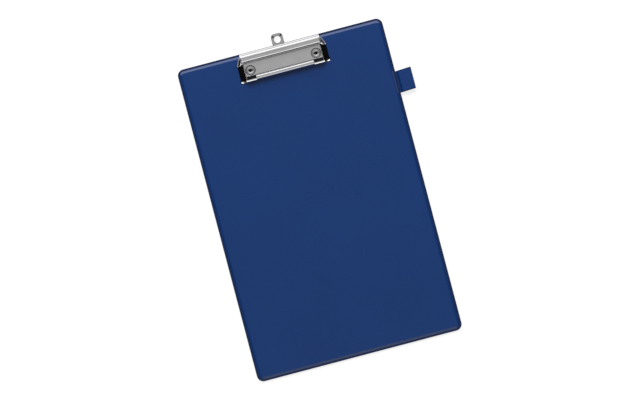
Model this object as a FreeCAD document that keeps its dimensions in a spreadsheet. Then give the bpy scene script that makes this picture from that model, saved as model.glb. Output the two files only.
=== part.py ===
import FreeCAD, Part
import math
import os

import Sketcher

# Clipboard: a greyboard core between two welded PVC films, a pen loop in the right edge and, at the top
# edge, a chromed spring clip with a sliding hanging eye.
# Frame: the origin is the middle of the back face, X to the right, Y towards the clip, Z up.
# All sizes are in millimetres. A setback is a distance from the board's top edge towards its foot, and a
# rise is a height above the board's front face.

doc = FreeCAD.newDocument("clipboard")

# Driving dimensions

sizes = {
    # board
    "board_width": 225.0,
    "board_length": 343.0,
    "corner_radius": 7.0,
    "core_thickness": 2.4,
    "film": 0.3,
    "weld_rim": 2.0,
    "cover_slope": 2.5,
    "core_gap": 0.1,
    "overrun": 1.0,
    "pick_reach": 0.05,
    # pen loop
    "loop_width": 23.4,
    "loop_setback": 59.6,
    "loop_reach": 17.0,
    "loop_height": 5.8,
    "loop_strip": 0.5,
    "loop_floor": 0.2,
    "loop_neck": 2.0,
    "loop_round": 1.0,
    "loop_fold": 2.0,
    "tail_depth": 1.8,
    "tail_thickness": 0.7,
    "tail_gap": 0.05,
    # hinge
    "pin_setback": 6.0,
    "pin_rise": 5.0,
    "pin_radius": 1.5,
    "pin_proud": 0.8,
    "pin_round": 0.4,
    "pin_fit": 0.05,
    # base plate of the clip
    "base_width": 87.0,
    "base_front": 25.6,
    "base_sheet": 0.8,
    "base_rise": 1.3,
    "base_corner": 2.0,
    "base_bend": 0.4,
    "flange_gap": 1.1,
    "ear_inset": 1.7,
    "ear_radius": 2.2,
    "lug_width": 3.0,
    "lug_length": 1.5,
    "lug_gap": 0.3,
    # rivets
    "rivet_inset": 7.5,
    "rivet_setback": 19.5,
    "dimple_rim_radius": 5.5,
    "dimple_floor_radius": 4.8,
    "shank_radius": 2.1,
    "shank_gap": 0.1,
    "ring_radius": 4.3,
    "ring_height": 1.1,
    "ring_round": 0.5,
    "rivet_bore": 1.4,
    "rivet_web": 1.0,
    "head_radius": 4.5,
    "head_height": 0.5,
    # jaw
    "jaw_sheet": 1.0,
    "hump_radius": 5.0,
    "hump_margin": 0.2,
    "hump_round": 1.2,
    "shoulder_flare": 5.6,
    "shoulder_back": 4.5,
    "shoulder_bend": 10.0,
    "bend_flare": 2.5,
    "shoulder_front": 12.6,
    "frame_rise": 5.5,
    "frame_top_inset": 1.0,
    "frame_front": 31.2,
    "front_lean": 0.2,
    "front_strip": 1.7,
    "frame_bevel": 0.4,
    "foot_gap": 0.1,
    "heel_rise": 4.6,
    "bend_rise": 2.6,
    "arm_rise": 0.6,
    "foot_length": 4.0,
    "window_edge": 0.6,
    "lip_step": 0.15,
    "lip_width": 63.0,
    "lip_radius": 2.5,
    "lip_sweep": 155.0,
    # springs
    "wire": 0.9,
    "coil_radius": 2.2,
    "coil_turns": 5.0,
    "coil_pitch": 1.5,
    "coil_offset": 20.0,
    "base_leg": 4.4,
    "jaw_leg": 2.6,
    # hanging eye
    "eye_width": 12.6,
    "eye_reach": 11.5,
    "eye_sheet": 0.9,
    "eye_gap": 0.1,
    "eye_corner": 3.5,
    "eye_hole": 3.7,
    "eye_hole_reach": 5.0,
    "stop_width": 20.0,
    "stop_setback": 7.0,
    "stop_length": 4.0,
}

sheet = doc.addObject("Spreadsheet::Sheet", "dims")
for row, (alias, number) in enumerate(sizes.items(), start=1):
    sheet.set(f"A{row}", str(number))
    sheet.setAlias(f"A{row}", alias)
doc.recompute()

# Places that many pieces share, as expressions on the sheet

BOARD = "(dims.core_thickness + 2 * dims.film)"
MIDDLE = f"({BOARD} / 2)"
HALF_WIDTH = "(dims.board_width / 2)"
HALF_LENGTH = "(dims.board_length / 2)"
PIN_Y = f"({HALF_LENGTH} - dims.pin_setback)"
PIN_Z = f"({BOARD} + dims.pin_rise)"
RIVET_X = "(dims.base_width / 2 - dims.rivet_inset)"
RIVET_Y = f"({HALF_LENGTH} - dims.rivet_setback)"
PLATE_TOP = "(dims.base_rise + dims.base_sheet)"
HUMP_HALF = "(dims.base_width / 2 + dims.hump_margin)"


def setback(distance):
    return f"{HALF_LENGTH} - ({distance})"


def rise(height):
    return f"{BOARD} + ({height})"


def value(expression):
    return float(sheet.evalExpression(expression))


# Modelling helpers


def new_body(label):
    body = doc.addObject("PartDesign::Body", label)
    body.Label = label
    return body


def attach(item, body, role, offset):
    """Lay an item on an origin plane of its body; offset holds expressions in the plane's own axes."""
    plane = next(f for f in body.Origin.OriginFeatures if f.Role == role)
    item.AttachmentSupport = (plane, [""])
    item.MapMode = "FlatFace"
    for axis, expression in zip("xyz", offset):
        item.setExpression(f"AttachmentOffset.Base.{axis}", expression)


def new_sketch(body, name, role, offset):
    sketch = body.newObject("Sketcher::SketchObject", f"{body.Name}_{name}")
    attach(sketch, body, role, offset)
    return sketch


def bind(sketch, kind, geometry, point, expression):
    index = sketch.addConstraint(Sketcher.Constraint(kind, geometry, point, value(expression)))
    sketch.setExpression(f"Constraints[{index}]", expression)


def draw_outline(sketch, corners):
    """A closed outline whose corners are pairs of expressions, or triples with a radius for a round corner.

    A round corner is an arc tangent to both its lines, which meet at a point bound to the sheet.
    """
    points = [FreeCAD.Vector(value(corner[0]), value(corner[1]), 0) for corner in corners]
    first = sketch.GeometryCount
    count = len(points)
    for i, point in enumerate(points):
        sketch.addGeometry(Part.LineSegment(point, points[(i + 1) % count]))
    for i, corner in enumerate(corners):
        before = first + (i - 1) % count
        after = first + i
        if len(corner) == 2:
            sketch.addConstraint(Sketcher.Constraint("Coincident", before, 2, after, 1))
            bind(sketch, "DistanceX", after, 1, corner[0])
            bind(sketch, "DistanceY", after, 1, corner[1])
            continue
        next_point = points[(i + 1) % count]
        arc = sketch.addGeometry(corner_arc(points[i - 1], points[i], next_point, value(corner[2])))
        meeting = sketch.addGeometry(Part.Point(points[i]), True)
        start, end = sketch.Geometry[arc].StartPoint, sketch.Geometry[arc].EndPoint
        from_start = (start - points[i - 1]).Length < (end - points[i - 1]).Length
        sketch.addConstraint(Sketcher.Constraint("Tangent", before, 2, arc, 1 if from_start else 2))
        sketch.addConstraint(Sketcher.Constraint("Tangent", after, 1, arc, 2 if from_start else 1))
        sketch.addConstraint(Sketcher.Constraint("PointOnObject", meeting, 1, before))
        sketch.addConstraint(Sketcher.Constraint("PointOnObject", meeting, 1, after))
        bind(sketch, "DistanceX", meeting, 1, corner[0])
        bind(sketch, "DistanceY", meeting, 1, corner[1])
        radius = sketch.addConstraint(Sketcher.Constraint("Radius", arc, value(corner[2])))
        sketch.setExpression(f"Constraints[{radius}]", corner[2])


def corner_arc(before, corner, after, radius):
    """The arc of a radius that is tangent to the two lines that meet in a corner."""
    inward = (before - corner).normalize()
    outward = (after - corner).normalize()
    half_angle = inward.getAngle(outward) / 2
    bisector = (inward + outward).normalize()
    centre = corner + bisector * (radius / math.sin(half_angle))
    reach = radius / math.tan(half_angle)
    return Part.Arc(corner + inward * reach, centre - bisector * radius, corner + outward * reach)


def draw_rectangle(sketch, left, right, low, high):
    draw_outline(sketch, [(left, low), (right, low), (right, high), (left, high)])


def draw_circle(sketch, x, y, radius):
    centre = FreeCAD.Vector(value(x), value(y), 0)
    index = sketch.addGeometry(Part.Circle(centre, FreeCAD.Vector(0, 0, 1), value(radius)))
    bind(sketch, "DistanceX", index, 3, x)
    bind(sketch, "DistanceY", index, 3, y)
    constraint = sketch.addConstraint(Sketcher.Constraint("Radius", index, value(radius)))
    sketch.setExpression(f"Constraints[{constraint}]", radius)


def draw_rounded_board(sketch, inset):
    """The board's outline, drawn inwards by an inset: four straight edges and four tangent corner arcs."""
    half_x = f"{HALF_WIDTH} - ({inset})"
    half_y = f"{HALF_LENGTH} - ({inset})"
    radius = f"dims.corner_radius - ({inset})"
    x, y, r = value(half_x), value(half_y), value(radius)
    ends = [(x - r, -y, r - x, -y), (-x, r - y, -x, y - r), (r - x, y, x - r, y), (x, y - r, x, r - y)]
    for x0, y0, x1, y1 in ends:
        sketch.addGeometry(Part.LineSegment(FreeCAD.Vector(x0, y0, 0), FreeCAD.Vector(x1, y1, 0)))
    corners = [(r - x, r - y, 180), (r - x, y - r, 90), (x - r, y - r, 0), (x - r, r - y, 270)]
    for x0, y0, start in corners:
        circle = Part.Circle(FreeCAD.Vector(x0, y0, 0), FreeCAD.Vector(0, 0, 1), r)
        sketch.addGeometry(Part.ArcOfCircle(circle, math.radians(start), math.radians(start + 90)))
    for i in range(4):
        sketch.addConstraint(Sketcher.Constraint("Tangent", i, 2, 4 + i, 2))
        sketch.addConstraint(Sketcher.Constraint("Tangent", 4 + i, 1, (i + 1) % 4, 1))
        sketch.addConstraint(Sketcher.Constraint("Vertical" if i % 2 else "Horizontal", i))
    for i in range(1, 4):
        sketch.addConstraint(Sketcher.Constraint("Equal", 4, 4 + i))
    constraint = sketch.addConstraint(Sketcher.Constraint("Radius", 4, r))
    sketch.setExpression(f"Constraints[{constraint}]", radius)
    bind(sketch, "DistanceY", 0, 1, f"-({half_y})")
    bind(sketch, "DistanceX", 1, 1, f"-({half_x})")
    bind(sketch, "DistanceY", 2, 1, half_y)
    bind(sketch, "DistanceX", 3, 1, half_x)


def extrude(body, kind, sketch, length, reverse=False, symmetric=False):
    feature = body.newObject(f"PartDesign::{kind}", f"{sketch.Name}_{kind.lower()}")
    feature.Profile = sketch
    feature.SideType = "Symmetric" if symmetric else "One side"
    feature.Reversed = reverse
    feature.setExpression("Length", length)
    doc.recompute()
    return feature


def loft(body, kind, lower, *upper):
    feature = body.newObject(f"PartDesign::{kind}", f"{lower.Name}_loft")
    feature.Profile = lower
    feature.Sections = list(upper)
    feature.Ruled = True
    doc.recompute()
    return feature


def revolve(body, kind, sketch, axis, angle=None):
    feature = body.newObject(f"PartDesign::{kind}", f"{sketch.Name}_{kind.lower()}")
    feature.Profile = sketch
    feature.ReferenceAxis = (sketch, [axis])
    if angle:
        feature.setExpression("Angle", angle)
    doc.recompute()
    return feature


def fillet(body, radius, chosen):
    """Round the edges of the body's last feature that a test on the edge and its middle picks out."""
    base = body.Tip
    names = []
    for i, edge in enumerate(base.Shape.Edges, start=1):
        middle = edge.valueAt((edge.FirstParameter + edge.LastParameter) / 2)
        if chosen(edge, middle):
            names.append(f"Edge{i}")
    feature = body.newObject("PartDesign::Fillet", f"{base.Name}_fillet")
    feature.Base = (base, names)
    feature.setExpression("Radius", radius)
    doc.recompute()
    return feature


def runs_along(edge, axis):
    if not isinstance(edge.Curve, Part.Line):
        return False
    return abs(getattr(edge.Curve.Direction, axis)) > 0.999


# Core: one sheet of greyboard, punched for the rivet shanks and sunk at the back for the rivet heads.

SHANK_HOLE = "dims.shank_radius + dims.shank_gap"
HEAD_HOLE = "dims.head_radius + dims.shank_gap"


def punch_rivet_holes(body, name, level, radius, depth):
    """Cut both rivet holes upwards from a level."""
    holes = new_sketch(body, name, "XY_Plane", ("0", "0", level))
    draw_circle(holes, f"-{RIVET_X}", RIVET_Y, radius)
    draw_circle(holes, RIVET_X, RIVET_Y, radius)
    extrude(body, "Pocket", holes, depth, reverse=True)


core_board = new_body("core_board")
core_outline = new_sketch(core_board, "outline", "XY_Plane", ("0", "0", "dims.film"))
draw_rounded_board(core_outline, "dims.weld_rim + dims.cover_slope + dims.film + dims.core_gap")
extrude(core_board, "Pad", core_outline, "dims.core_thickness")
punch_rivet_holes(core_board, "shanks", "dims.film", SHANK_HOLE, "dims.core_thickness")
punch_rivet_holes(core_board, "heads", "dims.film", HEAD_HOLE, "dims.head_height - dims.film")

# Covers: two PVC films that meet at mid-thickness in a flat welded rim and slope up to the flat faces.
# The front one is raised over the tail of the pen loop, which is welded in between them.

LOOP_HIGH = setback("dims.loop_setback")
LOOP_LOW = setback("dims.loop_setback + dims.loop_width")


def build_cover(label, side):
    front = side == "+"
    body = new_body(label)

    def level_outline(name, height, inset):
        sketch = new_sketch(body, name, "XY_Plane", ("0", "0", f"{MIDDLE} {side} ({height})"))
        draw_rounded_board(sketch, inset)
        return sketch

    rim = level_outline("rim", "0", "0")
    extrude(body, "Pad", rim, "dims.film", reverse=not front)
    slope_foot = level_outline("slope_foot", "dims.film", "dims.weld_rim")
    slope_top = level_outline("slope_top", MIDDLE, "dims.weld_rim + dims.cover_slope")
    loft(body, "AdditiveLoft", slope_foot, slope_top)
    if front:
        patch = new_sketch(body, "patch", "XY_Plane", ("0", "0", f"{MIDDLE} + dims.film"))
        patch_left = f"{HALF_WIDTH} - dims.weld_rim - dims.cover_slope"
        margin = "(dims.film + dims.tail_gap)"
        draw_rectangle(patch, patch_left, HALF_WIDTH, f"{LOOP_LOW} - {margin}", f"{LOOP_HIGH} + {margin}")
        extrude(body, "Pad", patch, "dims.tail_thickness")
    hollow_foot = level_outline("hollow_foot", "0", "dims.weld_rim + dims.film")
    hollow_top_inset = "dims.weld_rim + dims.cover_slope + dims.film"
    hollow_top = level_outline("hollow_top", f"{MIDDLE} - dims.film", hollow_top_inset)
    loft(body, "SubtractiveLoft", hollow_foot, hollow_top)
    if front:
        slot = new_sketch(body, "slot", "XY_Plane", ("0", "0", MIDDLE))
        slot_left = f"{HALF_WIDTH} - dims.tail_depth - dims.tail_gap"
        slot_right = f"{HALF_WIDTH} + dims.overrun"
        slot_low = f"{LOOP_LOW} - dims.tail_gap"
        slot_high = f"{LOOP_HIGH} + dims.tail_gap"
        draw_rectangle(slot, slot_left, slot_right, slot_low, slot_high)
        extrude(body, "Pocket", slot, "dims.tail_thickness", reverse=True)
        punch_rivet_holes(body, "shanks", rise("-dims.film"), SHANK_HOLE, "dims.film")
    else:
        punch_rivet_holes(body, "heads", "0", HEAD_HOLE, "dims.film")
    return body


front_cover = build_cover("front_cover", "+")
back_cover = build_cover("back_cover", "-")

# Pen loop: a PVC strip folded on itself. Its two ends lie together as a flat tail in the weld, and it opens
# into a flat loop beside the board.

LOOP_TOP = "dims.loop_floor + dims.loop_height"
LOOP_END = f"{HALF_WIDTH} + dims.loop_reach"
LOOP_SHOULDER = f"{HALF_WIDTH} + dims.loop_neck"
TAIL_TOP = f"{MIDDLE} + dims.tail_thickness"

pen_loop = new_body("pen_loop")
loop_outside = new_sketch(pen_loop, "outside", "XZ_Plane", ("0", "0", f"-({LOOP_HIGH})"))
draw_outline(loop_outside, [
    (f"{HALF_WIDTH} - dims.tail_depth", MIDDLE),
    (HALF_WIDTH, MIDDLE),
    (LOOP_SHOULDER, "dims.loop_floor", "dims.loop_round"),
    (LOOP_END, "dims.loop_floor", "dims.loop_fold"),
    (LOOP_END, LOOP_TOP, "dims.loop_fold"),
    (LOOP_SHOULDER, LOOP_TOP, "dims.loop_round"),
    (HALF_WIDTH, TAIL_TOP),
    (f"{HALF_WIDTH} - dims.tail_depth", TAIL_TOP),
])
extrude(pen_loop, "Pad", loop_outside, "dims.loop_width")
loop_inside = new_sketch(pen_loop, "inside", "XZ_Plane", ("0", "0", f"-({LOOP_HIGH}) - dims.overrun"))
inner_shoulder = f"{LOOP_SHOULDER} + dims.loop_strip"
inner_end = f"{LOOP_END} - dims.loop_strip"
inner_fold = "dims.loop_fold - dims.loop_strip"
inner_low = "dims.loop_floor + dims.loop_strip"
inner_high = f"{LOOP_TOP} - dims.loop_strip"
draw_outline(loop_inside, [
    (f"{HALF_WIDTH} + 2 * dims.loop_strip", MIDDLE),
    (inner_shoulder, inner_low, "dims.loop_round"),
    (inner_end, inner_low, inner_fold),
    (inner_end, inner_high, inner_fold),
    (inner_shoulder, inner_high, "dims.loop_round"),
    (f"{HALF_WIDTH} + 2 * dims.loop_strip", TAIL_TOP),
])
extrude(pen_loop, "Pocket", loop_inside, "dims.loop_width + 2 * dims.overrun", reverse=True)

# Base plate of the clip: one steel pressing. It stands clear of the board for the sliding eye, is dished
# down to the board round each rivet, and has a turned-down front flange, two ears for the hinge pin and two
# small lugs that stop the eye.

BASE_FRONT = setback("dims.base_front")
BASE_BACK = f"{PIN_Y} + dims.ear_radius"
DISH_RIM = "(dims.dimple_rim_radius + dims.base_sheet / 2)"
EAR_HALF = "(dims.base_width / 2 - dims.ear_inset)"

clip_base = new_body("clip_base")
plate = new_sketch(clip_base, "plate", "XY_Plane", ("0", "0", rise("dims.base_rise")))
draw_outline(plate, [
    ("-dims.base_width / 2", BASE_BACK, "dims.base_corner"),
    ("-dims.base_width / 2", BASE_FRONT, "dims.base_corner"),
    ("dims.base_width / 2", BASE_FRONT, "dims.base_corner"),
    ("dims.base_width / 2", BASE_BACK, "dims.base_corner"),
])
extrude(clip_base, "Pad", plate, "dims.base_sheet")
flange = new_sketch(clip_base, "flange", "XY_Plane", ("0", "0", rise("dims.base_rise")))
flange_back = f"{BASE_FRONT} + dims.base_sheet"
flange_half = f"({RIVET_X} - {DISH_RIM} - dims.flange_gap)"
draw_rectangle(flange, f"-{flange_half}", flange_half, BASE_FRONT, flange_back)
extrude(clip_base, "Pad", flange, "dims.base_rise", reverse=True)
lugs = new_sketch(clip_base, "lugs", "XY_Plane", ("0", "0", rise("dims.base_rise")))
lug_inner = "dims.eye_width / 2 + dims.lug_gap"
lug_outer = f"{lug_inner} + dims.lug_width"
lug_low = f"{setback('dims.stop_setback')} + dims.lug_gap"
lug_high = f"{lug_low} + dims.lug_length"
draw_rectangle(lugs, lug_inner, lug_outer, lug_low, lug_high)
draw_rectangle(lugs, f"-({lug_outer})", f"-({lug_inner})", lug_low, lug_high)
extrude(clip_base, "Pad", lugs, "dims.base_rise", reverse=True)
for side in ("-", "+"):
    ear_level = f"{EAR_HALF} - dims.base_sheet" if side == "+" else f"-{EAR_HALF}"
    ear = new_sketch(clip_base, "ear", "YZ_Plane", ("0", "0", ear_level))
    ear_high = f"{PIN_Y} + dims.ear_radius"
    draw_rectangle(ear, f"{PIN_Y} - dims.ear_radius", ear_high, rise("dims.base_rise"), PIN_Z)
    extrude(clip_base, "Pad", ear, "dims.base_sheet")
    ear_top = new_sketch(clip_base, "ear_top", "YZ_Plane", ("0", "0", ear_level))
    draw_circle(ear_top, PIN_Y, PIN_Z, "dims.ear_radius")
    extrude(clip_base, "Pad", ear_top, "dims.base_sheet")
    dish = clip_base.newObject("PartDesign::AdditiveCone", "dish")
    attach(dish, clip_base, "XY_Plane", (f"{side}{RIVET_X}", RIVET_Y, BOARD))
    dish.setExpression("Radius1", "dims.dimple_floor_radius + dims.base_sheet / 2")
    dish.setExpression("Radius2", DISH_RIM)
    dish.setExpression("Height", "dims.base_rise")
    doc.recompute()
    hollow = clip_base.newObject("PartDesign::SubtractiveCone", "hollow")
    attach(hollow, clip_base, "XY_Plane", (f"{side}{RIVET_X}", RIVET_Y, rise("dims.base_sheet")))
    hollow.setExpression("Radius1", "dims.dimple_floor_radius")
    hollow.setExpression("Radius2", "dims.dimple_rim_radius")
    hollow.setExpression("Height", "dims.base_rise")
    doc.recompute()
punch_rivet_holes(clip_base, "shanks", BOARD, SHANK_HOLE, "dims.base_sheet")
pin_holes = new_sketch(clip_base, "pin_holes", "YZ_Plane", ("0", "0", "0"))
draw_circle(pin_holes, PIN_Y, PIN_Z, "dims.pin_radius + dims.pin_fit")
extrude(clip_base, "Pocket", pin_holes, "dims.base_width", symmetric=True)
fillet(clip_base, "dims.base_bend", lambda edge, middle: (
    runs_along(edge, "x") and abs(middle.y - value(BASE_FRONT)) < value("dims.pick_reach")
    and abs(middle.z - value(rise(PLATE_TOP))) < value("dims.pick_reach")))

# Hinge pin: a plain steel rod with rounded ends, through the ears of the base and the ends of the jaw.

hinge_pin = new_body("hinge_pin")
rod = hinge_pin.newObject("PartDesign::AdditiveCylinder", "rod")
PIN_HALF = f"({HUMP_HALF} + dims.pin_proud)"
attach(rod, hinge_pin, "YZ_Plane", (PIN_Y, PIN_Z, f"-{PIN_HALF}"))
rod.setExpression("Radius", "dims.pin_radius")
rod.setExpression("Height", f"2 * {PIN_HALF}")
doc.recompute()
fillet(hinge_pin, "dims.pin_round", lambda edge, middle: isinstance(edge.Curve, Part.Circle))

# Rivets: semi-tubular, with a flat head let into the back of the board and the tube rolled outwards into a
# ring in the dish of the base plate.

FLOOR_TOP = rise("dims.base_sheet")
RING_TOP = f"{FLOOR_TOP} + dims.ring_height"


def build_rivet(label, side):
    body = new_body(label)
    section = new_sketch(body, "section", "XZ_Plane", (f"{side}{RIVET_X}", "0", f"-{RIVET_Y}"))
    draw_outline(section, [
        ("0", "0"),
        ("dims.head_radius", "0"),
        ("dims.head_radius", "dims.head_height"),
        ("dims.shank_radius", "dims.head_height"),
        ("dims.shank_radius", FLOOR_TOP),
        ("dims.ring_radius", FLOOR_TOP),
        ("dims.ring_radius", RING_TOP),
        ("dims.rivet_bore", RING_TOP),
        ("dims.rivet_bore", "dims.head_height + dims.rivet_web"),
        ("0", "dims.head_height + dims.rivet_web"),
    ])
    revolve(body, "Revolution", section, "V_Axis")
    fillet(body, "dims.ring_round", lambda edge, middle: (
        isinstance(edge.Curve, Part.Circle) and abs(middle.z - value(RING_TOP)) < value("dims.pick_reach")))
    return body


left_rivet = build_rivet("left_rivet", "-")
right_rivet = build_rivet("right_rivet", "+")

# Jaw: one chromed pressing. A half-round hump covers the hinge, shoulders widen it to two sloping arms, and
# the arms carry the front wall, whose foot holds the paper and whose top is curled back into a finger lip.

BEVEL_RISE = "(dims.frame_rise - dims.frame_bevel)"
ARM_HALF = f"({HUMP_HALF} + dims.shoulder_flare)"
BEND_HALF = f"({HUMP_HALF} + dims.bend_flare)"
TOP_HALF = "(dims.base_width / 2 - dims.frame_top_inset)"
FLANK = f"(({ARM_HALF} - {TOP_HALF}) / ({BEVEL_RISE} - dims.foot_gap))"
FLANK_RUN = f"(dims.jaw_sheet * sqrt(1 + {FLANK}^2))"
HUMP_BACK = "dims.pin_setback - dims.hump_radius"
LEAN_FRONT = "dims.frame_front - dims.front_lean"

jaw = new_body("jaw")
hump = jaw.newObject("PartDesign::AdditiveCylinder", "hump")
attach(hump, jaw, "YZ_Plane", (PIN_Y, PIN_Z, f"-{HUMP_HALF}"))
hump.setExpression("Radius", "dims.hump_radius")
hump.setExpression("Height", f"2 * {HUMP_HALF}")
doc.recompute()
fillet(jaw, "dims.hump_round", lambda edge, middle: isinstance(edge.Curve, Part.Circle))


def plan_outline(name, level, halves, back, front, step="0"):
    """A plan outline, the same both sides, from half widths at the back, the shoulder and the front.

    The step moves the shoulder points forwards, for the inside of the sheet.
    """
    shoulder = ["dims.shoulder_back", "dims.shoulder_bend", "dims.shoulder_front"]
    places = [back] + [f"{place} + {step}" for place in shoulder] + [front]
    right = [(half, setback(place)) for half, place in zip(halves, places)]
    left = [(f"-({half})", place) for half, place in reversed(right)]
    sketch = new_sketch(jaw, name, "XY_Plane", ("0", "0", level))
    draw_outline(sketch, right + left)
    return sketch


bevel_half = f"{TOP_HALF} - dims.frame_bevel"
outer_foot = plan_outline("outer_foot", rise("dims.foot_gap"),
                          [HUMP_HALF, HUMP_HALF, BEND_HALF, ARM_HALF, ARM_HALF],
                          HUMP_BACK, "dims.frame_front")
outer_bevel = plan_outline("outer_bevel", rise(BEVEL_RISE), [TOP_HALF] * 5, HUMP_BACK, LEAN_FRONT)
outer_top = plan_outline("outer_top", rise("dims.frame_rise"), [bevel_half] * 5, HUMP_BACK,
                         f"{LEAN_FRONT} - dims.frame_bevel")
loft(jaw, "AdditiveLoft", outer_foot, outer_bevel, outer_top)

inner_back = f"{HUMP_HALF} - dims.jaw_sheet"
inner_arm = f"{ARM_HALF} - {FLANK_RUN}"
inner_top_back = f"{TOP_HALF} - dims.jaw_sheet"
inner_top = f"{TOP_HALF} + {FLANK} * (dims.jaw_sheet - dims.frame_bevel) - {FLANK_RUN}"
inner_setback = f"{HUMP_BACK} + dims.jaw_sheet"
inner_bend = f"{BEND_HALF} - dims.jaw_sheet"
inner_step = "dims.jaw_sheet / 2"
hollow_foot = plan_outline("hollow_foot", rise("dims.foot_gap"),
                           [inner_back, inner_back, inner_bend, inner_arm, inner_arm],
                           inner_setback, "dims.frame_front - dims.jaw_sheet", inner_step)
hollow_top = plan_outline("hollow_top", rise("dims.frame_rise - dims.jaw_sheet"),
                          [inner_top_back, inner_top_back, inner_top_back, inner_top, inner_top],
                          inner_setback, f"{LEAN_FRONT} - dims.jaw_sheet", inner_step)
loft(jaw, "SubtractiveLoft", hollow_foot, hollow_top)
barrel = jaw.newObject("PartDesign::SubtractiveCylinder", "barrel")
attach(barrel, jaw, "YZ_Plane", (PIN_Y, PIN_Z, f"-({inner_back})"))
barrel.setExpression("Radius", "dims.hump_radius - dims.jaw_sheet")
barrel.setExpression("Height", f"2 * ({inner_back})")
doc.recompute()

window = new_sketch(jaw, "window", "XY_Plane", ("0", "0", rise(PLATE_TOP)))
window_half = f"{TOP_HALF} - dims.window_edge"
window_back = setback("dims.pin_setback + dims.hump_radius")
window_front = setback(f"{LEAN_FRONT} - dims.front_strip")
draw_rectangle(window, f"-({window_half})", window_half, window_front, window_back)
extrude(jaw, "Pocket", window, "dims.frame_rise", reverse=True)

trim = new_sketch(jaw, "trim", "YZ_Plane", ("0", "0", "0"))
trim_back = setback(f"{HUMP_BACK} - dims.overrun")
trim_front = setback("dims.frame_front - dims.foot_length")
draw_outline(trim, [
    (trim_back, rise("-dims.overrun")),
    (trim_back, rise("dims.heel_rise")),
    (setback("dims.shoulder_bend + dims.jaw_sheet"), rise("dims.bend_rise")),
    (setback("dims.shoulder_front"), rise("dims.arm_rise")),
    (trim_front, rise("dims.arm_rise")),
    (trim_front, rise("-dims.overrun")),
])
extrude(jaw, "Pocket", trim, f"2 * ({ARM_HALF} + dims.overrun)", symmetric=True)

lip_setback = f"{LEAN_FRONT} - dims.lip_step - dims.lip_radius"
lip_level = rise("dims.frame_rise - dims.jaw_sheet / 2")
lip = new_sketch(jaw, "lip", "XY_Plane", ("0", setback(lip_setback), lip_level))
draw_rectangle(lip, "-dims.lip_width / 2", "dims.lip_width / 2", "-dims.lip_radius",
               "dims.jaw_sheet - dims.lip_radius")
curl = revolve(jaw, "Revolution", lip, "H_Axis", "dims.lip_sweep")
curl.Reversed = True
doc.recompute()

jaw_holes = new_sketch(jaw, "pin_holes", "YZ_Plane", ("0", "0", "0"))
draw_circle(jaw_holes, PIN_Y, PIN_Z, "dims.pin_radius + dims.pin_fit")
extrude(jaw, "Pocket", jaw_holes, f"2 * ({ARM_HALF} + dims.overrun)", symmetric=True)

# Hanging eye: a flat steel slider. The round hole takes a hook, and the wide inner end stops at the lugs.

hanging_eye = new_body("hanging_eye")
eye = new_sketch(hanging_eye, "outline", "XY_Plane", ("0", "0", rise("dims.eye_gap")))
eye_half = "dims.eye_width / 2"
stop_half = "dims.stop_width / 2"
eye_top = f"{HALF_LENGTH} + dims.eye_reach"
stop_high = setback("dims.stop_setback")
stop_low = setback("dims.stop_setback + dims.stop_length")
draw_outline(eye, [
    (f"-{eye_half}", eye_top, "dims.eye_corner"),
    (f"-{eye_half}", stop_high),
    (f"-{stop_half}", stop_high),
    (f"-{stop_half}", stop_low),
    (stop_half, stop_low),
    (stop_half, stop_high),
    (eye_half, stop_high),
    (eye_half, eye_top, "dims.eye_corner"),
])
extrude(hanging_eye, "Pad", eye, "dims.eye_sheet")
eye_hole = new_sketch(hanging_eye, "hole", "XY_Plane", ("0", "0", rise("dims.eye_gap")))
draw_circle(eye_hole, "0", f"{HALF_LENGTH} + dims.eye_hole_reach", "dims.eye_hole")
extrude(hanging_eye, "Pocket", eye_hole, "dims.eye_sheet", reverse=True)

# Springs: two torsion springs on the pin. Each is one wire: a leg forward along the base plate, the coil,
# and a leg up behind the pin against the inside of the hump.


def biarc(start, start_way, end, end_way):
    """Two arcs from start to end that leave and arrive along the given directions."""
    chord = end - start
    ways = start_way + end_way
    square = 2 * (1 - start_way.dot(end_way))
    reach = (math.sqrt(chord.dot(ways) ** 2 + square * chord.dot(chord)) - chord.dot(ways)) / square
    joint = (start + start_way * reach + end - end_way * reach) * 0.5
    return [tangent_arc(start, start_way, joint), tangent_arc(end, end_way * -1, joint)]


def tangent_arc(start, way, end):
    """The arc from start, leaving along way, to end."""
    chord = end - start
    along = chord.dot(way)
    across = way * along * -1 + chord
    half_angle = math.atan2(across.Length, along)
    bulge = chord.Length / 2 * math.tan(half_angle / 2)
    outward = way - chord * (along / chord.dot(chord))
    outward.normalize()
    middle = (start + end) * 0.5 + outward * bulge
    return Part.Arc(start, middle, end).toShape()


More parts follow.
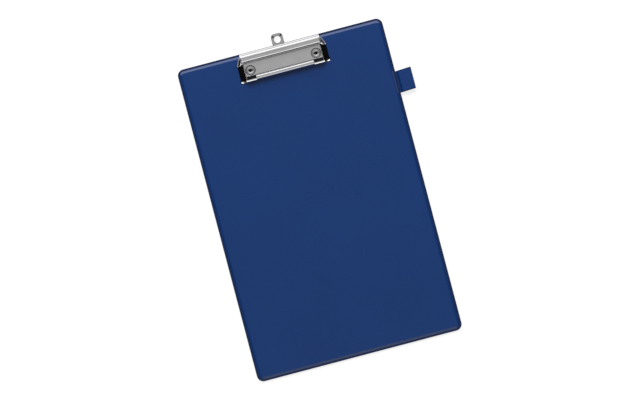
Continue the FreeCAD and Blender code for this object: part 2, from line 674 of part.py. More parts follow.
def build_spring(label, side):
    radius = value("dims.coil_radius")
    pitch = value("dims.coil_pitch")
    turns = int(value("dims.coil_turns"))
    quarters = 4 * turns + 1
    centre = FreeCAD.Vector(side * value("dims.coil_offset"), value(PIN_Y), value(PIN_Z))

    def helix(quarter):
        """Place and direction after a number of quarter turns, from the coil's bottom and up its back."""
        angle = math.pi / 2 * quarter
        out = FreeCAD.Vector(0, math.sin(angle), -math.cos(angle))
        way = FreeCAD.Vector(side * pitch / (2 * math.pi * radius), math.cos(angle), math.sin(angle))
        way.normalize()
        along = FreeCAD.Vector(side * pitch * quarter / 4, 0, 0)
        return centre + out * radius + along, way

    first, first_way = helix(0)
    last, last_way = helix(quarters)
    base_tip = first - first_way * value("dims.base_leg")
    jaw_tip = last + last_way * value("dims.jaw_leg")
    edges = [Part.LineSegment(base_tip, first).toShape()]
    stations = [0] + list(range(1, quarters + 1, 2))
    for here, there in zip(stations, stations[1:]):
        edges += biarc(*helix(here), *helix(there))
    edges.append(Part.LineSegment(last, jaw_tip).toShape())
    path = Part.Wire(Part.__sortEdges__(edges))
    section = Part.Wire(Part.Circle(base_tip, first_way, value("dims.wire") / 2).toShape())
    pipe = Part.BRepOffsetAPI.MakePipeShell(path)
    pipe.add(section)
    pipe.build()
    pipe.makeSolid()
    spring = doc.addObject("Part::Feature", label)
    spring.Label = label
    spring.Shape = pipe.shape()
    spring.Placement = FreeCAD.Placement()
    report_gap(label, path)
    return spring


def report_gap(label, path):
    """Print the least gap of the wire to itself, measured on points more than half a turn apart."""
    wire = value("dims.wire")
    half_turn = math.pi * value("dims.coil_radius")
    count = int(path.Length / (wire / 2))
    points = path.discretize(Number=count + 1)
    skip = int(half_turn / (path.Length / count))
    pairs = [(i, j) for i in range(count) for j in range(i + skip, count + 1)]
    gap = min(points[i].distanceToPoint(points[j]) for i, j in pairs)
    print(f"{label}: least gap of the wire to itself {gap - wire:.2f} mm")


left_spring = build_spring("left_spring", -1)
right_spring = build_spring("right_spring", 1)

# Checks and files

doc.recompute()
pieces = [
    core_board, front_cover, back_cover, pen_loop, clip_base, hinge_pin, left_spring, right_spring,
    left_rivet, right_rivet, jaw, hanging_eye,
]
for item in doc.Objects:
    if {"Invalid", "Error"} & set(item.State):
        raise RuntimeError(f"{item.Name} failed: {item.State}")
for piece in pieces:
    if piece.Shape.isNull() or not piece.Shape.isValid() or len(piece.Shape.Solids) != 1:
        raise RuntimeError(f"{piece.Label} is not one valid solid")

os.makedirs("parts", exist_ok=True)
for piece in pieces:
    piece.Shape.exportStep(f"parts/{piece.Label}.step")
    print(f"{piece.Label}: {piece.Shape.Volume:.1f} mm3")
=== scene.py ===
"""A film-covered clipboard with a sprung chromed clip, a pen loop and a sliding hanging eye."""

import math

import bmesh
import bpy
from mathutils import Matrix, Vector


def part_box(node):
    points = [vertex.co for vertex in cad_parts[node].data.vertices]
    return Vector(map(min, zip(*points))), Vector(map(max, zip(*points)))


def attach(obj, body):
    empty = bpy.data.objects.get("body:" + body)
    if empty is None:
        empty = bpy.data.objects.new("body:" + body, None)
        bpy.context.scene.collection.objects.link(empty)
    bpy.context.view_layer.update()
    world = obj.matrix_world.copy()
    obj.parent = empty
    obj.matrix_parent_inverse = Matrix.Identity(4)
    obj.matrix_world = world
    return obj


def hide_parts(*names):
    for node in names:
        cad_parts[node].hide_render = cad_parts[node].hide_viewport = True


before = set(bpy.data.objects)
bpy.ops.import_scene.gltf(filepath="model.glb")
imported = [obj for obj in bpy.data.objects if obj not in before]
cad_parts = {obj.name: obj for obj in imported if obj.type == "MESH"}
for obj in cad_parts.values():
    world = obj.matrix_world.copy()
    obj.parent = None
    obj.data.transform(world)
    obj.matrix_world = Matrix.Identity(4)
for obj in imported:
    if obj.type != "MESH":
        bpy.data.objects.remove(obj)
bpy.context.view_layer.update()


# Core board: a flat sheet of pressed grey pulp board that makes the clipboard stiff.
# It is sealed between the two films, so only its edges could ever show through a split weld.
# The solid from the CAD stays and gets a fibrous pulp finish.
def add_node(tree, kind, settings=None, **sockets):
    """A node with its settings, its inputs set or linked by socket name or number."""
    node = tree.nodes.new(kind)
    for name, value in (settings or {}).items():
        setattr(node, name, value)
    for name, value in sockets.items():
        key = int(name[1:]) if name[0] == "i" and name[1:].isdigit() else name.replace("_", " ")
        if isinstance(value, bpy.types.NodeSocket):
            tree.links.new(value, node.inputs[key])
        else:
            node.inputs[key].default_value = value
    return node


def calc(tree, operation, first, second=0.0, third=0.0):
    """The output of one Math node."""
    settings = {"operation": operation}
    return add_node(tree, "ShaderNodeMath", settings, i0=first, i1=second, i2=third).outputs[0]


def ramp(tree, factor, *stops):
    """A colour ramp through (place, colour) stops. A colour may be a single grey value."""
    node = add_node(tree, "ShaderNodeValToRGB", Fac=factor)
    elements = node.color_ramp.elements
    while len(elements) < len(stops):
        elements.new(0.5)
    for element, (place, colour) in zip(elements, stops):
        grey = isinstance(colour, (int, float))
        element.position = place
        element.color = (colour, colour, colour, 1.0) if grey else (*colour, 1.0)
    return node.outputs["Color"]


def new_material(name, **sockets):
    """A material, its node tree and its Principled shader, with the sockets that stay plain set."""
    material = bpy.data.materials.new(name)
    material.use_nodes = True
    tree = material.node_tree
    shader = tree.nodes["Principled BSDF"]
    for socket, value in sockets.items():
        shader.inputs[socket.replace("_", " ")].default_value = value
    return material, tree, shader


def object_noise(tree, scale, detail=2.0, stretch=(1.0, 1.0, 1.0)):
    """Noise on Object coordinates, with scale counted in waves per metre."""
    place = add_node(tree, "ShaderNodeTexCoord").outputs["Object"]
    mapped = add_node(tree, "ShaderNodeMapping", Vector=place, Scale=stretch).outputs[0]
    return add_node(tree, "ShaderNodeTexNoise", Vector=mapped, Scale=scale, Detail=detail).outputs["Fac"]


MM = 0.001
PULP_DARK = (0.23, 0.21, 0.18)
PULP_LIGHT = (0.36, 0.34, 0.30)
ROUGH_FIBRE, SMOOTH_FIBRE = 0.95, 0.80
FELT_DEPTH = 0.1 * MM
FIBRES_PER_METRE = 900.0
FIBRE_STRETCH = (1.0, 0.35, 1.0)
pulp, tree, shader = new_material("grey_pulp_board", Specular_IOR_Level=0.2)
fibres = object_noise(tree, FIBRES_PER_METRE, detail=6.0, stretch=FIBRE_STRETCH)
pulp_shade = ramp(tree, fibres, (0.3, PULP_DARK), (0.7, PULP_LIGHT))
tree.links.new(pulp_shade, shader.inputs["Base Color"])
pulp_roughness = ramp(tree, fibres, (0.2, ROUGH_FIBRE), (0.8, SMOOTH_FIBRE))
tree.links.new(pulp_roughness, shader.inputs["Roughness"])
felt = add_node(tree, "ShaderNodeBump", Height=fibres, Strength=0.4, Distance=FELT_DEPTH)
tree.links.new(felt.outputs[0], shader.inputs["Normal"])
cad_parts["core_board"].material_slots[0].material = pulp


# Covers: two sheets of blue PVC film, one on the front and one on the back of the core.
# They are welded together all round in a flat rim, and slope up from it over the core's edge.
# The front film also lies over the welded tail of the pen loop.
board_low, board_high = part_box("front_cover")
HALF_WIDTH, HALF_LENGTH = board_high.x, board_high.y
WELD_HEIGHT = board_low.z
PLATEAU = board_high.z - WELD_HEIGHT
CORNER_RADIUS = 7.0 * MM
FILM = 0.3 * MM
SLOPE_START = 2.05 * MM
SLOPE = 2.5 * MM
SLOPE_CREST = 0.95
CORNER_STEPS = 14
EDGE_STEPS = 28
loop_low, loop_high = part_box("pen_loop")
TAIL_RISE = 0.7 * MM
TAIL_SIDE = 0.5 * MM
TAIL_INSET = 1.9 * MM
# The film's section: the rim as (inset, height) in millimetres, the slope as shares of its run and rise.
RIM_LINE = [(0.06, 0.0), (0.0, 0.07), (0.0, 0.22), (0.07, 0.30), (0.4, 0.30), (1.2, 0.30)]
RIM_LINE += [(1.75, 0.30), (1.9, 0.24), (2.05, 0.27)]
SLOPE_LINE = [(0.10, 0.09), (0.36, 0.37), (0.62, 0.65), (0.84, 0.885)]
SLOPE_LINE += [(0.92, 0.955), (1.0, 0.988), (1.12, 1.0)]
FACE_INSETS = (6.0 * MM, 6.8 * MM)
UNDER_LINE = [(5.0 * MM, PLATEAU - FILM), (4.2 * MM, PLATEAU - 1.4 * FILM)]
UNDER_LINE += [(2.4 * MM, 0.02 * MM), (TAIL_INSET, 0.0)]


def board_outline():
    """Stations round the board: an anchor one corner radius in from the edge, and the way outwards."""
    x, y = HALF_WIDTH - CORNER_RADIUS, HALF_LENGTH - CORNER_RADIUS
    corners = [Vector((x, -y)), Vector((x, y)), Vector((-x, y)), Vector((-x, -y))]
    marks = [loop_low.y - 2 * TAIL_SIDE, loop_low.y - TAIL_SIDE, loop_low.y, loop_high.y]
    marks += [loop_high.y + TAIL_SIDE, loop_high.y + 2 * TAIL_SIDE]
    stations = []
    for side, corner in enumerate(corners):
        along = corners[(side + 1) % 4] - corner
        places = [step / EDGE_STEPS for step in range(1, EDGE_STEPS)]
        if side == 0:
            places = sorted(places + [(mark - corner.y) / along.y for mark in marks])
        start = math.radians(90 * side - 90)
        for step in range(CORNER_STEPS + 1):
            angle = start + math.radians(90 * step / CORNER_STEPS)
            stations.append((corner, Vector((math.cos(angle), math.sin(angle)))))
        facing = stations[-1][1]
        stations += [(corner + along * place, facing) for place in places]
    return stations


def piece_from(build, name):
    """A new object from a finished bmesh."""
    mesh = bpy.data.meshes.new(name)
    build.to_mesh(mesh)
    build.free()
    piece = bpy.data.objects.new(name, mesh)
    bpy.context.scene.collection.objects.link(piece)
    return piece


def over_tail(point, facing):
    """How much of the tail's thickness the film rises by here. It does so on the right edge only."""
    if facing.x < 0.99:
        return 0.0
    outside = max(loop_low.y - point.y, point.y - loop_high.y, 0.0)
    share = min(max(1.0 - outside / TAIL_SIDE, 0.0), 1.0)
    return share * share * (3 - 2 * share)


def film_cover(name, side, material):
    """A closed film with its weld rim, its slope and its flat face.

    Side is 1 for the front and -1 for the back. A row is its inset, its height, how much painted shade
    darkens it, and how far it is drawn."""
    outer = [(inset * MM, height * MM, 1.0, 0.0) for inset, height in RIM_LINE]
    for share, risen in SLOPE_LINE:
        drawn = 1.0 if share < SLOPE_CREST else 0.0
        outer.append((SLOPE_START + SLOPE * share, FILM + (PLATEAU - FILM) * risen, 0.0, drawn))
    outer += [(inset, PLATEAU, 0.0, 0.0) for inset in FACE_INSETS]
    rows = outer + [(inset, height, 0.0, 0.0) for inset, height in UNDER_LINE]
    stations = board_outline()
    build = bmesh.new()
    painted_edge_shade = build.verts.layers.float.new("painted_edge_shade")
    stretch = build.verts.layers.float.new("stretch")
    rings = []
    for number, (inset, height, edge_shaded, drawn) in enumerate(rows):
        ring = []
        outside = number < len(outer)
        for anchor, facing in stations:
            point = anchor + facing * (CORNER_RADIUS - inset)
            rise = TAIL_RISE * over_tail(point, facing) if side > 0 else 0.0
            level = height
            if rise and outside:
                level = height + rise if height <= FILM else max(height, FILM + rise)
            elif rise and inset <= TAIL_INSET:
                level = rise
            vert = build.verts.new((point.x, point.y, WELD_HEIGHT + side * level))
            vert[painted_edge_shade] = edge_shaded
            vert[stretch] = drawn
            ring.append(vert)
        rings.append(ring)
    count = len(stations)
    for first, second in zip(rings, rings[1:] + rings[:1]):
        if first is rings[len(outer) - 1]:
            continue
        for step in range(count):
            after = (step + 1) % count
            build.faces.new((first[step], first[after], second[after], second[step]))
    build.faces.new(rings[len(outer) - 1])
    build.faces.new(list(reversed(rings[len(outer)])))
    bmesh.ops.recalc_face_normals(build, faces=build.faces)
    piece = piece_from(build, name)
    piece.data.materials.append(material)
    return piece


def bake(piece):
    """The piece with its modifiers applied as a plain mesh."""
    graph = bpy.context.evaluated_depsgraph_get()
    baked = bpy.data.meshes.new_from_object(piece.evaluated_get(graph))
    piece.modifiers.clear()
    piece.data = baked
    return piece


def true_shading(piece, angle=40.0):
    """Smooth shading that leaves flat faces flat and keeps edges sharper than angle, in degrees."""
    piece.data.shade_smooth()
    piece.data.set_sharp_from_angle(angle=math.radians(angle))
    normals = piece.modifiers.new("flats_stay_flat", "WEIGHTED_NORMAL")
    normals.keep_sharp = True
    return bake(piece)


def work_with(piece, operation, solid):
    """Takes a solid, given as a bmesh, out of a piece (DIFFERENCE) or joins it on (UNION)."""
    tool = piece_from(solid, "tool")
    stroke = piece.modifiers.new("tool", "BOOLEAN")
    stroke.object = tool
    stroke.operation = operation
    bake(piece)
    bpy.data.objects.remove(tool)


ROUND_STEPS = 48
PUNCH_LENGTH = 20 * MM


def punch(piece, places, radius):
    """Round holes through a piece, at these places on the board."""
    for place in places:
        cutter = bmesh.new()
        bmesh.ops.create_cone(cutter, cap_ends=True, segments=ROUND_STEPS, radius1=radius, radius2=radius,
                              depth=PUNCH_LENGTH)
        bmesh.ops.translate(cutter, verts=cutter.verts, vec=(place.x, place.y, WELD_HEIGHT))
        work_with(piece, "DIFFERENCE", cutter)
    return true_shading(piece)


FILM_ROUGHNESS = 0.21
FILM_HAZE = 0.14
GRAINS_PER_METRE = 1500.0
GRAIN_DEPTH = 0.05 * MM
SHADES_PER_METRE = 14.0
SMEARS_PER_METRE = 60.0
SMEAR_STRETCH = (1.0, 0.5, 1.0)


def film_grain_group():
    """Calendered PVC: a fine pebbled grain, a slow change of shade and a faint haze from handling."""
    group = bpy.data.node_groups.new("film_grain", "ShaderNodeTree")
    for name, kind in (("Grain Scale", "NodeSocketFloat"), ("Deep Shade", "NodeSocketColor"),
                       ("Light Shade", "NodeSocketColor")):
        group.interface.new_socket(name, in_out="INPUT", socket_type=kind)
    for name, kind in (("Shade", "NodeSocketColor"), ("Roughness", "NodeSocketFloat"),
                       ("Height", "NodeSocketFloat")):
        group.interface.new_socket(name, in_out="OUTPUT", socket_type=kind)
    given = group.nodes.new("NodeGroupInput")
    place = add_node(group, "ShaderNodeTexCoord").outputs["Object"]
    pebbles = add_node(group, "ShaderNodeTexVoronoi", {"feature": "SMOOTH_F1"}, Vector=place,
                       Scale=given.outputs["Grain Scale"], Smoothness=0.6).outputs["Distance"]
    drift = object_noise(group, SHADES_PER_METRE, detail=3.0)
    haze = object_noise(group, SMEARS_PER_METRE, detail=5.0, stretch=SMEAR_STRETCH)
    blend = add_node(group, "ShaderNodeMix", {"data_type": "RGBA"}, i0=drift, i6=given.outputs["Deep Shade"],
                     i7=given.outputs["Light Shade"]).outputs[2]
    rough = calc(group, "MULTIPLY_ADD", haze, FILM_HAZE, FILM_ROUGHNESS)
    out = group.nodes.new("NodeGroupOutput")
    group.links.new(blend, out.inputs["Shade"])
    group.links.new(rough, out.inputs["Roughness"])
    group.links.new(pebbles, out.inputs["Height"])
    return group


film_grain = film_grain_group()


def film_finish(name, deep, light, edge_shade_colour):
    """Blue film. Where its shade mask is set, a painted shade darkens it (on the weld rim and on the pen
    loop's side edges and fold), and where it is drawn over an edge it is glossy.
    """
    material, tree, shader = new_material(name, Specular_IOR_Level=0.42, Coat_IOR=1.6, Coat_Roughness=0.14)
    drawn = add_node(tree, "ShaderNodeAttribute", {"attribute_name": "stretch"}).outputs["Fac"]
    tree.links.new(drawn, shader.inputs["Coat Weight"])
    grain = tree.nodes.new("ShaderNodeGroup")
    grain.node_tree = film_grain
    grain.inputs["Grain Scale"].default_value = GRAINS_PER_METRE
    grain.inputs["Deep Shade"].default_value = (*deep, 1.0)
    grain.inputs["Light Shade"].default_value = (*light, 1.0)
    painted_edge_shade = add_node(tree, "ShaderNodeAttribute", {"attribute_name": "painted_edge_shade"}).outputs["Fac"]
    shade = add_node(tree, "ShaderNodeMix", {"data_type": "RGBA"}, i0=painted_edge_shade, i6=grain.outputs["Shade"],
                     i7=(*edge_shade_colour, 1.0)).outputs[2]
    tree.links.new(shade, shader.inputs["Base Color"])
    tree.links.new(grain.outputs["Roughness"], shader.inputs["Roughness"])
    pebble = add_node(tree, "ShaderNodeBump", Height=grain.outputs["Height"], Strength=0.25,
                      Distance=GRAIN_DEPTH)
    tree.links.new(pebble.outputs[0], shader.inputs["Normal"])
    return material


# The third blue is a painted shade, laid on the film's weld rim and on the pen loop's side edges and fold.
BLUE_DEEP = (0.0032, 0.035, 0.160)
BLUE_LIGHT = (0.0045, 0.041, 0.185)
BLUE_PAINTED_SHADE = (0.004, 0.016, 0.075)
blue_film = film_finish("blue_pvc_film", BLUE_DEEP, BLUE_LIGHT, BLUE_PAINTED_SHADE)
rivet_boxes = [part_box(node) for node in ("left_rivet", "right_rivet")]
rivet_places = [(low + high) / 2 for low, high in rivet_boxes]
SHANK_HOLE = 2.2 * MM
HEAD_HOLE = 4.6 * MM
front_cover = punch(film_cover("front_film", 1, blue_film), rivet_places, SHANK_HOLE)
back_cover = punch(film_cover("back_film", -1, blue_film), rivet_places, HEAD_HOLE)
for piece, node in ((front_cover, "front_cover"), (back_cover, "back_cover")):
    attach(piece, "board")
    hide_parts(node)


# Pen loop: one strip of the same soft PVC, folded into a flat loop.
# Its two ends lie on each other and are welded between the films at the right edge.
# It is soft, so its top swells a little and its fold is round.
LOOP_STRIP = 0.5 * MM
TAIL_STRIP = 0.35 * MM
LOOP_ROWS = 14
LOOP_MARGIN = 0.7 * MM
LOOP_LEAN = 0.05
ARC_STEPS = 6
STRIP_EDGE = 0.12 * MM
CUT_ANGLE = 60.0
# Places along X and heights in millimetres, from the board's middle and its back face.
LOWER_NECK, UPPER_NECK, LOOP_ROOT = 113.1, 113.9, 114.9
FOLD_RADIUS = 1.7
TAIL_END = 112.6
LEAN_START = 115.0
SWELL = 0.12
SWELL_START, SWELL_RUN, SWELL_STOP = 116.0, 4.0, 1.0
TOP_LEVEL = 4.0
# How far back from the fold's end the painted shade reaches, in millimetres.
FOLD_SHADE_REACH = 0.6


def rounded_path(corners):
    """Points along a route of (x, z, radius) corners in millimetres, with each corner turned in an arc."""
    points = []
    for number, (x, z, radius) in enumerate(corners):
        here = Vector((x, z))
        if radius == 0:
            points.append(here)
            continue
        back = (Vector(corners[number - 1][:2]) - here).normalized()
        ahead = (Vector(corners[number + 1][:2]) - here).normalized()
        half = back.angle(ahead) / 2
        reach = radius / math.tan(half)
        middle = here + (back + ahead).normalized() * (radius / math.sin(half))
        first, last = here + back * reach - middle, here + ahead * reach - middle
        turn = first.angle_signed(last)
        for step in range(ARC_STEPS + 1):
            angle = -turn * step / ARC_STEPS
            points.append(middle + Vector((first.x * math.cos(angle) - first.y * math.sin(angle),
                                           first.x * math.sin(angle) + first.y * math.cos(angle))))
    return points


def pen_loop_strip():
    """The strip as a closed ribbon, from its lower end round the fold to its upper end."""
    end, low, high = loop_high.x / MM, loop_low.z / MM, loop_high.z / MM
    tail, weld_level = loop_low.x / MM, WELD_HEIGHT / MM
    half, tail_half = LOOP_STRIP / MM / 2, TAIL_STRIP / MM / 2
    lower, upper = weld_level + tail_half, weld_level + 3 * tail_half
    fold, bottom, top = end - half, low + half, high - half
    route = [(tail, lower, 0), (LOWER_NECK, lower, 0.8), (LOOP_ROOT, bottom, 1.2)]
    route += [(fold, bottom, FOLD_RADIUS), (fold, top, FOLD_RADIUS)]
    route += [(LOOP_ROOT, top, 1.3), (UPPER_NECK, upper, 0.5), (tail, upper, 0)]
    path = rounded_path(route)
    build = bmesh.new()
    painted_edge_shade = build.verts.layers.float.new("painted_edge_shade")
    slices = []
    length = loop_high.y - loop_low.y
    rows = [0.0, LOOP_MARGIN] + [length * (row + 1) / (LOOP_ROWS + 2) for row in range(LOOP_ROWS + 1)]
    rows += [length - LOOP_MARGIN, length]
    for row in rows:
        share = row / length
        swell = math.sin(math.pi * share) * SWELL
        shaded_edge_row = row <= LOOP_MARGIN or row >= length - LOOP_MARGIN
        edge = []
        for number, point in enumerate(path):
            before, after = path[max(number - 1, 0)], path[min(number + 1, len(path) - 1)]
            along = (after - before).normalized()
            side = Vector((along.y, -along.x))
            thick = TAIL_STRIP if point.x < TAIL_END else LOOP_STRIP
            into, left = point.x - SWELL_START, end - SWELL_STOP - point.x
            run = min(max(min(into, left) / SWELL_RUN, 0.0), 1.0)
            lift = swell * run - SWELL if point.y > TOP_LEVEL else 0.0
            y = loop_low.y + row + LOOP_LEAN * max(point.x - LEAN_START, 0.0) * MM
            for face in (0.5, -0.5):
                place = point * MM + side * thick * face
                vert = build.verts.new((place.x, y, place.y + lift * MM))
                # The strip's side edges and its fold get the painted shade.
                vert[painted_edge_shade] = 1.0 if shaded_edge_row or point.x > end - FOLD_SHADE_REACH else 0.0
                edge.append(vert)
        slices.append(edge)
    last = len(path) - 1
    for first, second in zip(slices, slices[1:]):
        for number in range(last):
            for face in (0, 1):
                here, ahead = 2 * number + face, 2 * number + 2 + face
                build.faces.new((first[here], first[ahead], second[ahead], second[here]))
        for tip in (0, 2 * last):
            build.faces.new((first[tip], first[tip + 1], second[tip + 1], second[tip]))
    for edge in (slices[0], slices[-1]):
        for number in range(last):
            here = 2 * number
            build.faces.new((edge[here], edge[here + 2], edge[here + 3], edge[here + 1]))
    bmesh.ops.recalc_face_normals(build, faces=build.faces)
    piece = piece_from(build, "pen_loop_strip")
    piece.data.materials.append(film_finish("blue_pvc_strip", BLUE_DEEP, BLUE_LIGHT, BLUE_PAINTED_SHADE))
    cut = piece.modifiers.new("cut_edges", "BEVEL")
    cut.width = STRIP_EDGE
    cut.segments = 2
    cut.limit_method = "ANGLE"
    cut.angle_limit = math.radians(CUT_ANGLE)
    return true_shading(bake(piece))


pen_loop = pen_loop_strip()
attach(pen_loop, "board")
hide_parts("pen_loop")


# Clip base: a plate pressed from thin steel, satin plated, that carries the hinge.
# It is dished round its two rivets, and its front edge is bent down onto the board.
# Its edges are tumbled, so they are slightly rounded.
MERGE_DISTANCE = 0.005 * MM
FLAT_ANGLE = 0.5


def pressed_copy(node, name, material):
    """A CAD node's shape as one merged mesh."""
    build = bmesh.new()
    build.from_mesh(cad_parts[node].data)
    bmesh.ops.remove_doubles(build, verts=build.verts, dist=MERGE_DISTANCE)
    bmesh.ops.dissolve_limit(build, angle_limit=math.radians(FLAT_ANGLE), verts=build.verts,
                             edges=build.edges)
    piece = piece_from(build, name)
    if piece.data.has_custom_normals:
        piece.data.attributes.remove(piece.data.attributes["custom_normal"])
    piece.data.materials.append(material)
    return piece


TUMBLED_ANGLE = 30.0
PRESSED_ANGLE = 50.0


def tumble(piece, edge):
    """Rounds the sharp edges of a pressed piece by edge."""
    rounding = piece.modifiers.new("tumbled_edges", "BEVEL")
    rounding.width = edge
    rounding.use_clamp_overlap = False
    rounding.segments = 2
    rounding.limit_method = "ANGLE"
    rounding.angle_limit = math.radians(TUMBLED_ANGLE)
    return true_shading(bake(piece), PRESSED_ANGLE)


HAZE_PER_METRE = 110.0
RUB_STRETCH = (0.12, 1.0, 1.0)
RUB_RELIEF = 0.01 * MM
# The painted shade also makes its faces rougher by this much.
PAINTED_SHADE_ROUGHNESS = 0.5


def plating_group():
    """Plated steel: fine rub marks, a slow haze and a little shade where the plating is thin."""
    group = bpy.data.node_groups.new("plating", "ShaderNodeTree")
    for name in ("Least Roughness", "Haze", "Rub Scale"):
        group.interface.new_socket(name, in_out="INPUT", socket_type="NodeSocketFloat")
    for name in ("Shade", "Roughness", "Height"):
        group.interface.new_socket(name, in_out="OUTPUT", socket_type="NodeSocketFloat")
    given = group.nodes.new("NodeGroupInput")
    place = add_node(group, "ShaderNodeTexCoord").outputs["Object"]
    mapped = add_node(group, "ShaderNodeMapping", Vector=place, Scale=RUB_STRETCH).outputs[0]
    rubs = add_node(group, "ShaderNodeTexNoise", Vector=mapped, Scale=given.outputs["Rub Scale"],
                    Detail=3.0).outputs["Fac"]
    haze = object_noise(group, HAZE_PER_METRE, detail=4.0)
    rough = calc(group, "MULTIPLY", haze, given.outputs["Haze"])
    rough = calc(group, "ADD", rough, given.outputs["Least Roughness"])
    out = group.nodes.new("NodeGroupOutput")
    group.links.new(haze, out.inputs["Shade"])
    group.links.new(rough, out.inputs["Roughness"])
    group.links.new(rubs, out.inputs["Height"])
    return group


plating = plating_group()


def plated_finish(name, dark, light, least, haze, rub_scale, rub_depth, painted_shade_colour=None):
    """Plated steel between two shades, with its least roughness, its haze and its rub marks.

    Where the mesh's shade mask attribute marks faces, a darker painted shade and more roughness show."""
    material, tree, shader = new_material(name, Metallic=1.0)
    coat = tree.nodes.new("ShaderNodeGroup")
    coat.node_tree = plating
    coat.inputs["Least Roughness"].default_value = least
    coat.inputs["Haze"].default_value = haze
    coat.inputs["Rub Scale"].default_value = rub_scale
    shade = ramp(tree, coat.outputs["Shade"], (0.3, dark), (0.7, light))
    rough = coat.outputs["Roughness"]
    if painted_shade_colour:
        painted_shade_mask = add_node(tree, "ShaderNodeAttribute", {"attribute_name": "painted_shade_mask"}).outputs["Fac"]
        shade = add_node(tree, "ShaderNodeMix", {"data_type": "RGBA"}, i0=painted_shade_mask, i6=shade,
                         i7=(*painted_shade_colour, 1.0)).outputs[2]
        rough = calc(tree, "ADD", rough, calc(tree, "MULTIPLY", painted_shade_mask, PAINTED_SHADE_ROUGHNESS))
    tree.links.new(shade, shader.inputs["Base Color"])
    tree.links.new(rough, shader.inputs["Roughness"])
    marks = add_node(tree, "ShaderNodeBump", Height=coat.outputs["Height"], Strength=rub_depth,
                     Distance=RUB_RELIEF)
    tree.links.new(marks.outputs[0], shader.inputs["Normal"])
    return material


def mark_painted_shade(piece, inside):
    """Marks faces for the painted shade, in the attribute that the finish reads."""
    painted_shade_mask = piece.data.attributes.new("painted_shade_mask", "FLOAT", "FACE")
    for face, mark in zip(piece.data.polygons, painted_shade_mask.data):
        mark.value = 1.0 if inside(face) else 0.0


def from_rivet(face):
    """How far a face's middle is from the nearer rivet's axis."""
    return min((face.center - place).xy.length for place in rivet_places)


DISH_PAINTED_SHADE = (0.26, 0.26, 0.26)
DISH_RADIUS = 6.5 * MM
DISH_SLOPE = 0.95
PLATE_EDGE = 0.12 * MM
satin_plate = plated_finish("satin_nickel_plate", dark=(0.88, 0.88, 0.89), light=(0.94, 0.94, 0.95),
                            least=0.30, haze=0.10, rub_scale=2500.0, rub_depth=0.2, painted_shade_colour=DISH_PAINTED_SHADE)
clip_base = tumble(pressed_copy("clip_base", "clip_base_plate", satin_plate), PLATE_EDGE)
# The dish walls round the rivets are darkened with a painted shade.
mark_painted_shade(clip_base, lambda face: from_rivet(face) < DISH_RADIUS and face.normal.z < DISH_SLOPE)
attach(clip_base, "board")
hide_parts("clip_base")


# Hinge pin and springs: a drawn steel pin through the base's ears, with two torsion springs wound on it.
# Each spring has one leg on the base plate and one under the jaw's hump, and presses the jaw down.
# The CAD solids stay and get the finish of drawn wire.
drawn_wire = plated_finish("drawn_spring_wire", dark=(0.40, 0.40, 0.41), light=(0.52, 0.52, 0.53),
                           least=0.22, haze=0.15, rub_scale=3500.0, rub_depth=0.3)
for node in ("hinge_pin", "left_spring", "right_spring"):
    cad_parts[node].material_slots[0].material = drawn_wire


# Rivets: two hollow steel rivets, chromed, that hold the base to the board.
# Each is a turned shape: a flat head let into the back, a shank, and an end rolled into a ring in the dish.
# A tree of nodes sweeps one half section round and sets a copy at each place.
# The half section as (radius, height) in millimetres.
RIVET_HEAD = [(0.0, 0.0), (4.3, 0.0), (4.5, 0.2), (4.5, 0.4), (4.4, 0.5), (2.1, 0.5)]
RIVET_ROLL = [(2.1, 3.8), (3.9, 3.8), (4.18, 3.92), (4.3, 4.2), (4.3, 4.4), (4.15, 4.7), (3.8, 4.88)]
RIVET_ROLL += [(3.4, 4.9), (2.4, 4.78), (1.8, 4.55), (1.46, 4.1)]
RIVET_INSIDE = [(1.4, 3.6), (1.4, 1.6), (1.3, 1.5), (0.0, 1.5)]
SWEEP_RADIUS = 10.0 * MM
CLOSING_DISTANCE = 0.001 * MM


def rivet_tree(material):
    """Sweeps a half section round an axis and sets it at two places."""
    group = bpy.data.node_groups.new("rolled_rivets", "GeometryNodeTree")
    group.interface.new_socket("Section", in_out="INPUT", socket_type="NodeSocketGeometry")
    for name, kind in (("Segments", "NodeSocketInt"), ("Sweep Radius", "NodeSocketFloat"),
                       ("First Place", "NodeSocketVector"), ("Spacing", "NodeSocketVector")):
        group.interface.new_socket(name, in_out="INPUT", socket_type=kind)
    group.interface.new_socket("Rivets", in_out="OUTPUT", socket_type="NodeSocketGeometry")
    given = group.nodes.new("NodeGroupInput")
    section = add_node(group, "GeometryNodeMeshToCurve", Mesh=given.outputs["Section"])
    circle = add_node(group, "GeometryNodeCurvePrimitiveCircle", Resolution=given.outputs["Segments"],
                      Radius=given.outputs["Sweep Radius"])
    swept = add_node(group, "GeometryNodeCurveToMesh", Curve=circle.outputs["Curve"],
                     Profile_Curve=section.outputs[0])
    turned = add_node(group, "GeometryNodeFlipFaces", Mesh=swept.outputs[0])
    closed = add_node(group, "GeometryNodeMergeByDistance", Geometry=turned.outputs[0],
                      Distance=CLOSING_DISTANCE)
    places = add_node(group, "GeometryNodeMeshLine", Count=2, Start_Location=given.outputs["First Place"],
                      Offset=given.outputs["Spacing"])
    copies = add_node(group, "GeometryNodeInstanceOnPoints", Points=places.outputs[0],
                      Instance=closed.outputs[0])
    real = add_node(group, "GeometryNodeRealizeInstances", Geometry=copies.outputs[0])
    dressed = add_node(group, "GeometryNodeSetMaterial", Geometry=real.outputs[0], Material=material)
    out = group.nodes.new("NodeGroupOutput")
    group.links.new(dressed.outputs[0], out.inputs["Rivets"])
    return group


